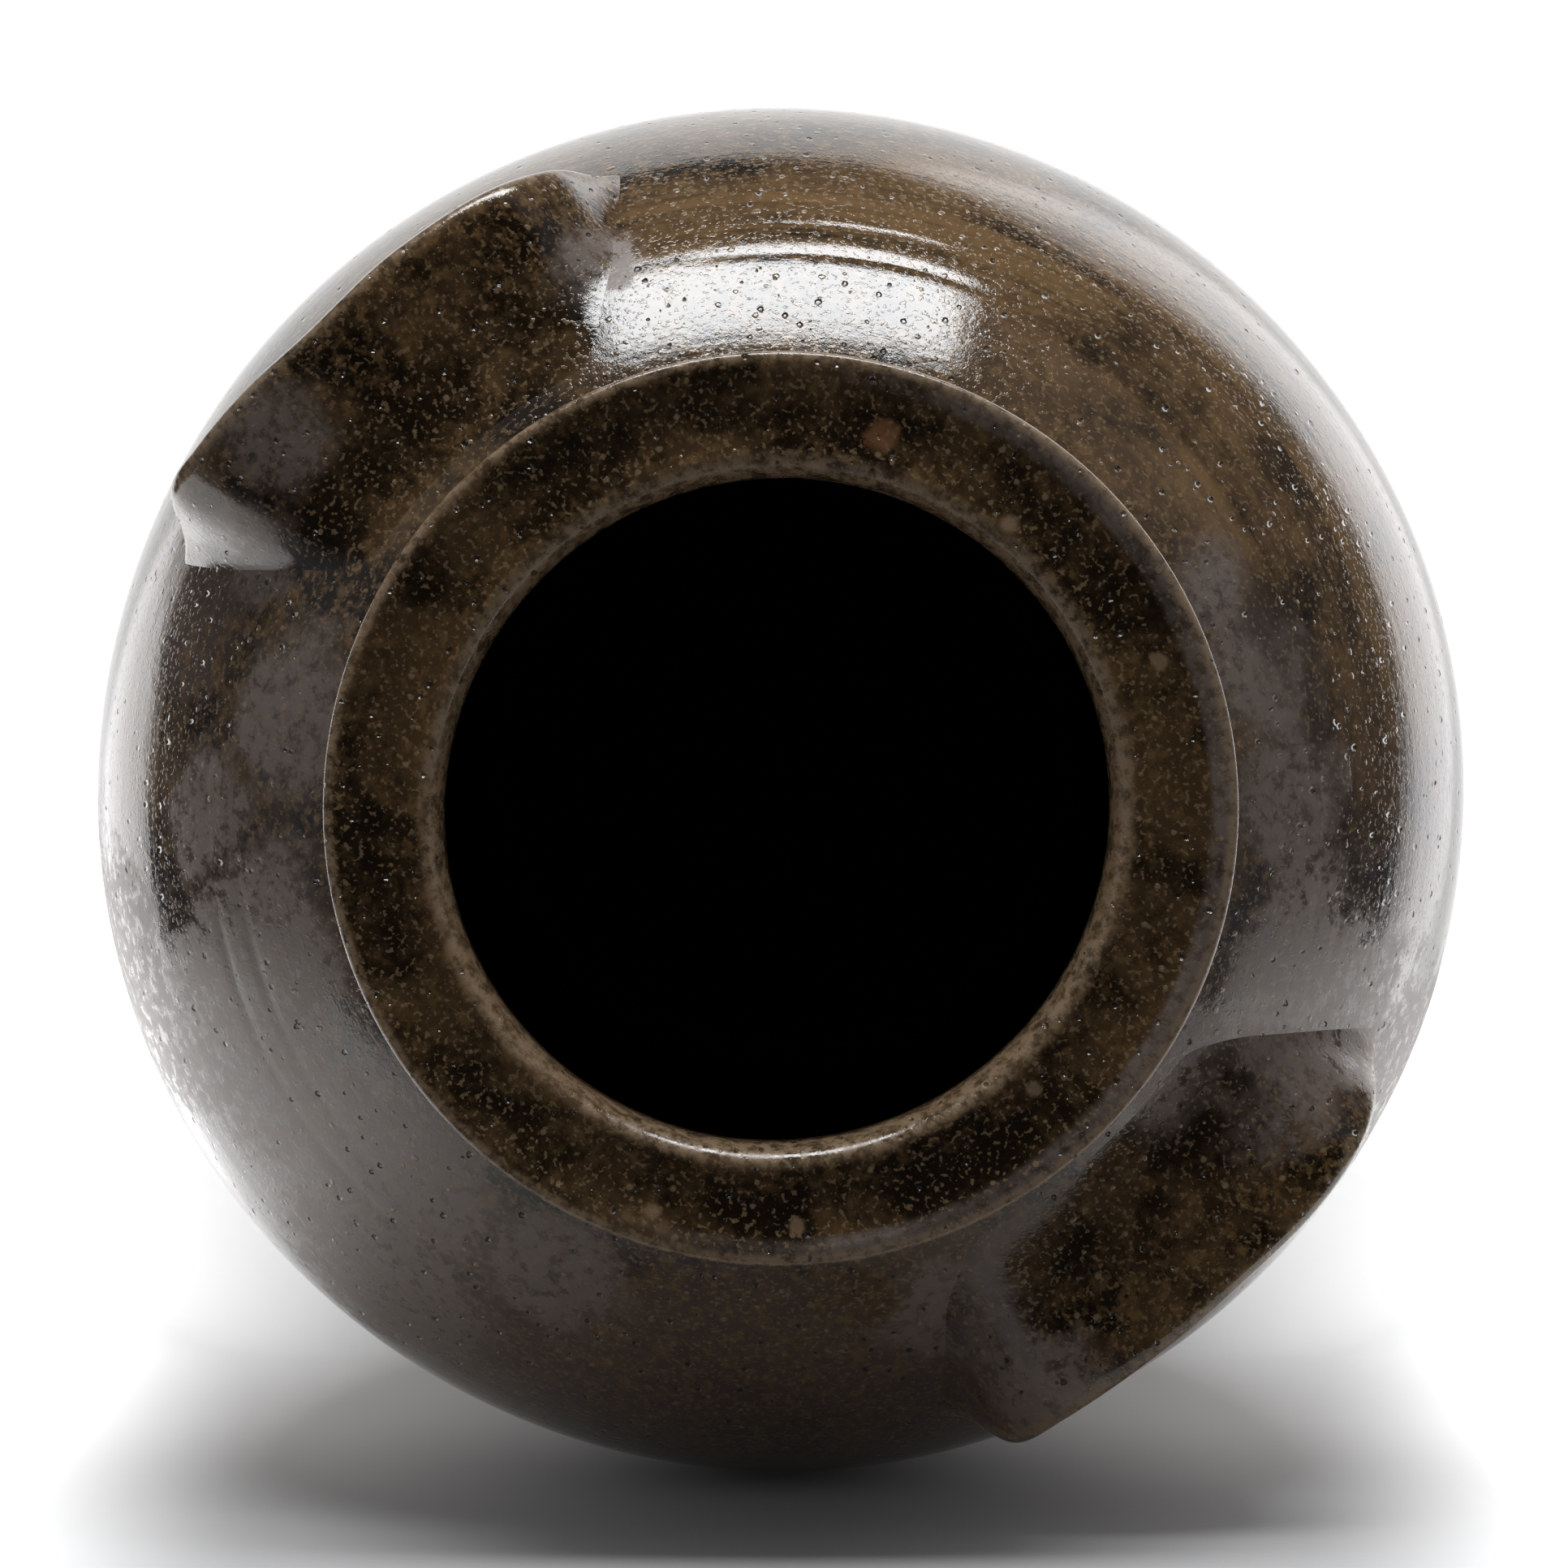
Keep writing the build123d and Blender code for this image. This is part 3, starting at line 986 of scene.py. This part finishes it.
haze_places = (
    (256, 0.366, 0.012), (243, 0.363, 0.017), (229, 0.360, 0.021), (215, 0.352, 0.027),
    (209, 0.334, 0.026), (194, 0.368, 0.018), (157, 0.356, 0.018), (112, 0.358, 0.020),
    (92, 0.356, 0.032), (74, 0.336, 0.040), (98, 0.326, 0.038), (62, 0.356, 0.026),
    (50, 0.346, 0.018), (38, 0.364, 0.020), (22, 0.348, 0.014), (338, 0.350, 0.013),
    (64, 0.296, 0.046), (205, 0.300, 0.036),
)
amber_places = (
    (300, 0.334, 0.040), (285, 0.340, 0.036), (270, 0.348, 0.034), (256, 0.342, 0.036),
    (242, 0.338, 0.034), (315, 0.340, 0.026), (330, 0.345, 0.024), (44, 0.320, 0.026),
    (120, 0.346, 0.020),
)
dark_places = (
    (278, 0.352, 0.020), (262, 0.345, 0.016), (248, 0.352, 0.020), (236, 0.344, 0.022),
    (227, 0.336, 0.026), (350, 0.364, 0.016), (340, 0.364, 0.016),
)
# Plum zones: partly the glaze's own plum-brown tone, partly painted fill light on the dim side that
# faces the sweep.
plum_and_painted_fill_places = ((132, 0.340, 0.048), (152, 0.326, 0.044), (114, 0.328, 0.036), (4, 0.330, 0.020),
               (32, 0.332, 0.022))
lug_haze_places = ((12, 0.144, 0.358, 0.015), (199, 0.130, 0.352, 0.018), (163, 0.148, 0.356, 0.015))
rust_places = ((0.047, -0.072, 0.0040),)
crater_places = (
    (0.014, -0.080, 0.0023), (-0.084, -0.001, 0.0020), (-0.031, -0.085, 0.0022),
    (-0.072, 0.059, 0.0020), (-0.048, 0.081, 0.0022),
)
print("haze zones:", len(haze_places), "amber zones:", len(amber_places))


def patches(tree, ragged, places):
    """The largest of several patch masks."""
    total = 0.0
    for centre, size in places:
        node = tree.nodes.new("ShaderNodeGroup")
        node.node_tree = patch_group
        node.inputs["Centre"].default_value = centre
        node.inputs["Size"].default_value = size
        tree.links.new(ragged, node.inputs["Ragged"])
        total = calculate(tree, "MAXIMUM", total, node.outputs["Mask"])
    return total


def blend(tree, share, under, over):
    """Lays one colour over another."""
    node = tree.nodes.new("ShaderNodeMix")
    node.data_type = "RGBA"
    link(tree, share, node.inputs["Factor"])
    for socket, colour in ((node.inputs[6], under), (node.inputs[7], over)):
        link(tree, colour if isinstance(colour, bpy.types.NodeSocket) else (*colour, 1), socket)
    return node.outputs[2]


def attribute(tree, name):
    node = tree.nodes.new("ShaderNodeAttribute")
    node.attribute_name = name
    return node.outputs["Fac"]


# %% The glaze
black_glaze = (0.0074, 0.0041, 0.0016)
brown_glaze = (0.060, 0.035, 0.0155)
amber_glaze = (0.150, 0.088, 0.037)
# Plum-brown: partly the glaze's own tone, partly painted fill light on the side facing the sweep.
plum_and_painted_fill_glaze = (0.072, 0.050, 0.039)
# Haze colour: the glaze's own grey haze, and also a painted sheen band inside the rim's ridge.
haze_and_sheen_glaze = (0.134, 0.102, 0.085)
grain_glaze = (0.185, 0.125, 0.070)
tan_glaze = (0.200, 0.137, 0.083)
bare_clay = (0.24, 0.145, 0.085)
rust_spot = (0.17, 0.080, 0.036)
# Near-black lining colour: painted shade for the jar's dark inside.
lining_painted_shade = (0.0020, 0.0019, 0.0016)
glaze_ior = 1.60
glaze_relief = 0.00016


def glaze_material(name):
    material = bpy.data.materials.new(name)
    material.use_nodes = True
    tree = material.node_tree
    shader = tree.nodes["Principled BSDF"]
    grain = tree.nodes.new("ShaderNodeGroup")
    grain.node_tree = grain_group
    grain = grain.outputs
    fine, mottle, ragged = grain["Fine"], grain["Mottle"], grain["Ragged"]
    height = split(tree, place_in_object(tree))["Z"]
    thin, pool, lining = [attribute(tree, title) for title in ("thin", "pool", "lining")]

    def times(a, b):
        return calculate(tree, "MULTIPLY", a, b)

    def wall_patches(places):
        return patches(tree, ragged, [(on_wall(angle, z), size) for angle, z, size in places])

    lug_haze = [(around(radians(angle)) * radius + Vector((0, 0, z)), size)
                for angle, radius, z, size in lug_haze_places]
    haze = calculate(tree, "MAXIMUM", wall_patches(haze_places), patches(tree, ragged, lug_haze))
    haze = times(haze, between(tree, height, 0.384, 0.390, 1.0, 0.0))
    x, y, _ = split(tree, place_in_object(tree))
    radius = calculate(tree, "SQRT", calculate(tree, "ADD", times(x, x), times(y, y)))
    # A painted sheen: a pale band just inside the rim's ridge, on one side only, in the haze colour.
    band = times(between(tree, radius, 0.0950, 0.0968), between(tree, height, 0.389, 0.391))
    band = times(band, between(tree, level_share(tree, around(radians(215))), -0.03, 0.04))
    haze = calculate(tree, "MAXIMUM", haze, band)
    haze = times(haze, between(tree, fine, 0.34, 0.56, 0.35, 1.0))
    dark = times(wall_patches(dark_places), 0.75)
    amber = times(wall_patches(amber_places), between(tree, grain["Rings"], 0.38, 0.62))

    colour = blend(tree, between(tree, mottle, 0.39, 0.58), black_glaze, brown_glaze)
    colour = blend(tree, times(amber, 0.8), colour, amber_glaze)
    colour = blend(tree, times(wall_patches(plum_and_painted_fill_places), 0.8), colour, plum_and_painted_fill_glaze)
    colour = blend(tree, times(between(tree, fine, 0.46, 0.66), 0.62), colour, amber_glaze)
    colour = blend(tree, haze, colour, haze_and_sheen_glaze)
    deep = times(calculate(tree, "MAXIMUM", dark, pool), between(tree, mottle, 0.42, 0.60, 1.0, 0.30))
    colour = blend(tree, deep, colour, black_glaze)
    worn = times(thin, between(tree, fine, 0.36, 0.60, 0.20, 1.0))
    colour = blend(tree, worn, colour, tan_glaze)
    specks = times(grain["Grit"], 0.65)
    colour = blend(tree, times(grain["Specks"], 0.55), colour, grain_glaze)
    colour = blend(tree, specks, colour, tan_glaze)
    colour = blend(tree, times(grain["Pits"], 0.7), colour, black_glaze)
    for places, spot_colour in ((rust_places, rust_spot), (crater_places, tan_glaze)):
        spots = patches(tree, fine, [(Vector((x, y, 0.3985)), size) for x, y, size in places])
        colour = blend(tree, times(spots, 0.65), colour, spot_colour)
    # The lining is painted near-black, a painted shade inside the jar.
    colour = blend(tree, times(lining, 0.95), colour, lining_painted_shade)
    line = calculate(tree, "ADD", height, times(calculate(tree, "SUBTRACT", ragged, 0.5), 0.02))
    bare = times(between(tree, line, 0.0165, 0.0180, 1.0, 0.0), calculate(tree, "SUBTRACT", 1.0, lining))
    colour = blend(tree, bare, colour, bare_clay)
    tree.links.new(colour, shader.inputs["Base Color"])

    matt = times(haze, calculate(tree, "SUBTRACT", 0.95, deep))
    for other in (times(worn, 0.7), times(specks, 0.2), lining, times(bare, 1.6)):
        matt = calculate(tree, "MAXIMUM", matt, other)
    tree.links.new(between(tree, matt, 0.0, 1.0, 0.05, 0.42), shader.inputs["Roughness"])
    shader.inputs["IOR"].default_value = glaze_ior

    rise = calculate(tree, "ADD", times(grain["Specks"], 0.15), times(fine, 0.5))
    rise = calculate(tree, "ADD", rise, times(grain["Grit"], 0.7))
    rise = calculate(tree, "ADD", rise, times(grain["Rings"], 0.6))
    rise = calculate(tree, "SUBTRACT", rise, times(grain["Pits"], 3.4))
    relief = tree.nodes.new("ShaderNodeBump")
    relief.inputs["Distance"].default_value = glaze_relief
    tree.links.new(rise, relief.inputs["Height"])
    tree.links.new(relief.outputs["Normal"], shader.inputs["Normal"])
    return material


brown = glaze_material("brown_glaze")
print("nodes in the glaze:", len(brown.node_tree.nodes))

# %% [markdown]
# ## Inside and underneath
#
# Little light gets into the jar, so its lining is painted one near-black and fairly matt
# colour, a painted shade for the dark inside. The foot was wiped clean before firing and
# shows the clay itself, which is rough and doesn't shine.

# %% The lining and the bare foot
pale_clay = (0.17, 0.098, 0.056)

lining = bpy.data.materials.new("inner_glaze")
lining.use_nodes = True
lining_shader = lining.node_tree.nodes["Principled BSDF"]
lining_shader.inputs["Base Color"].default_value = (*lining_painted_shade, 1)
lining_shader.inputs["Roughness"].default_value = 0.55

clay = bpy.data.materials.new("foot_clay")
clay.use_nodes = True
tree = clay.node_tree
clay_shader = tree.nodes["Principled BSDF"]
grain = tree.nodes.new("ShaderNodeGroup")
grain.node_tree = grain_group
colour = blend(tree, between(tree, grain.outputs["Fine"], 0.35, 0.65), pale_clay, bare_clay)
# The slab's inner face takes the near-black lining colour, a painted shade.
colour = blend(tree, attribute(tree, "lining"), colour, lining_painted_shade)
tree.links.new(colour, clay_shader.inputs["Base Color"])
clay_shader.inputs["Roughness"].default_value = 0.8
print("materials:", [material.name for material in bpy.data.materials])

# %% [markdown]
# ## Dressing the clay pieces
#
# Each dressed piece takes the place of one clay piece of the frame and rides on the same
# body, so the jar can still be taken apart by name.

# %% Dress the pieces
dressed = (
    (base_disc, "base_slab", "foot_clay", clay),
    (base_coil, "base_luting_coil", "inner_glaze", lining),
    (lower_course, "lower_wall", "brown_glaze", brown),
    (lower_coil, "lower_seam_coil", "inner_glaze", lining),
    (belly_course, "belly_wall", "brown_glaze", brown),
    (upper_coil, "upper_seam_coil", "inner_glaze", lining),
    (shoulder_course, "shoulder_wall", "brown_glaze", brown),
    (rim_piece, "rim_collar", "brown_glaze", brown),
    (right_lug, "lug_handle_right", "brown_glaze", brown),
    (left_lug, "lug_handle_left", "brown_glaze", brown),
    (right_luting, "right_lug_luting", "brown_glaze", brown),
    (left_luting, "left_lug_luting", "brown_glaze", brown),
)
for piece, node, slot, material in dressed:
    piece.data.materials.append(material)
    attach(piece, "root")
    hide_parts(node)
print("pieces dressed:", len(dressed))
